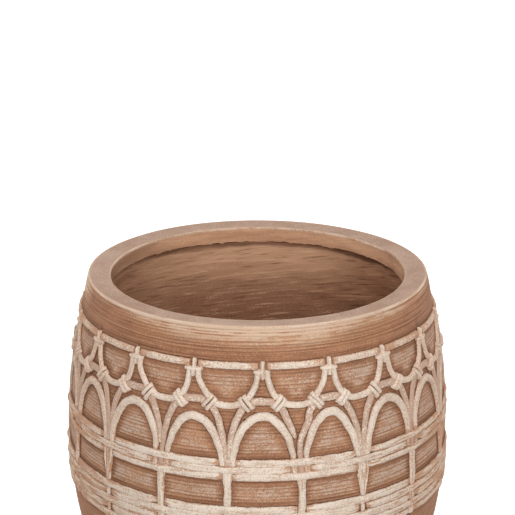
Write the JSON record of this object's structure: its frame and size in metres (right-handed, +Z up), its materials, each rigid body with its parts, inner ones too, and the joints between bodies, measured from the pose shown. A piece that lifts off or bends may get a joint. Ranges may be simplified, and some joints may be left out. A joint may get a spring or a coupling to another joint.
{
  "type": "vase",
  "caption": "Barrel-shaped terracotta vase with a thick rim, an open mouth and a whitewashed wickerwork relief of swags, arches and woven bands on its wall.",
  "frame": {"origin": "middle of the underside, on the surface that the vase stands on", "axes": "+Z up along the axis of the pot, -Y towards the front, where a knot of the relief is in the middle"},
  "size_m": [0.3456, 0.3438, 0.29],
  "materials": {
    "combed_clay": "matte, combed",
    "rim_clay": "matte, thin wash",
    "whitewashed_clay": "matte whitewash",
    "faintly_washed_clay": "matte, thin whitewash"
  },
  "bodies": {
    "root": {"body_wall": "combed_clay", "rim_ring": "rim_clay", "floor_slab": "combed_clay", "rail": "whitewashed_clay", "knot_pegs": "whitewashed_clay", "knot_bars": "whitewashed_clay", "swags": "whitewashed_clay", "outer_arches": "faintly_washed_clay", "inner_arches": "whitewashed_clay", "left_ties": "whitewashed_clay", "right_ties": "whitewashed_clay", "bundle_stakes": "whitewashed_clay", "window_stakes": "whitewashed_clay", "upper_strand_1": "whitewashed_clay", "upper_strand_2": "whitewashed_clay", "upper_strand_3": "whitewashed_clay", "lower_strand_1": "whitewashed_clay", "lower_strand_2": "whitewashed_clay", "lower_strand_3": "whitewashed_clay", "lower_strand_4": "whitewashed_clay", "lower_strand_5": "whitewashed_clay"}
  },
  "joints": []
}
